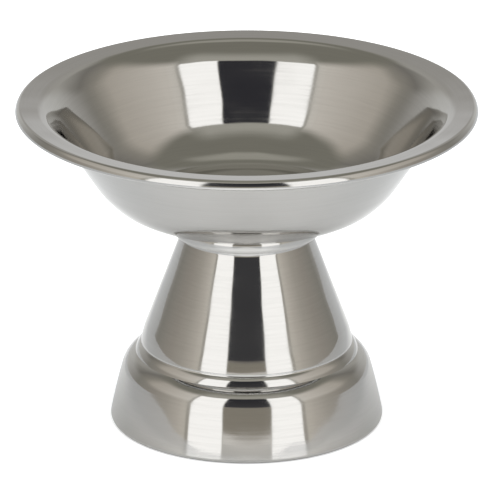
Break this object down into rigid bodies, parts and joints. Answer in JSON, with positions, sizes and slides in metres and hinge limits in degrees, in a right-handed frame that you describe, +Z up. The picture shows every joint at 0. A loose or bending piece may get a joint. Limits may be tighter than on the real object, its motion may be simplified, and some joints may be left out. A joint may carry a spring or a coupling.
{
  "type": "communion chalice",
  "caption": "Low chalice with a wide open bowl, a flat lip with its edge turned down, a rounded collar and a stepped conical foot, in polished stainless steel.",
  "frame": {"origin": "centre of the ring that the foot stands on, at table height", "axes": "+Z up along the axis of the bowl and foot"},
  "size_m": [0.13, 0.13, 0.0936],
  "materials": {
    "polished_steel": "stainless steel, mirror polished, with faint circular polishing lines",
    "plain_steel": "stainless steel, dull, heat tinted at the weld",
    "zinc_plated_steel": "bright zinc plate"
  },
  "bodies": {
    "root": {"bowl": "polished_steel", "stud_plate": "plain_steel", "stud": "zinc_plated_steel", "neck_collar": "polished_steel", "foot": "polished_steel", "clamp_washer": "zinc_plated_steel", "lock_washer": "zinc_plated_steel", "nut": "zinc_plated_steel"}
  },
  "joints": []
}
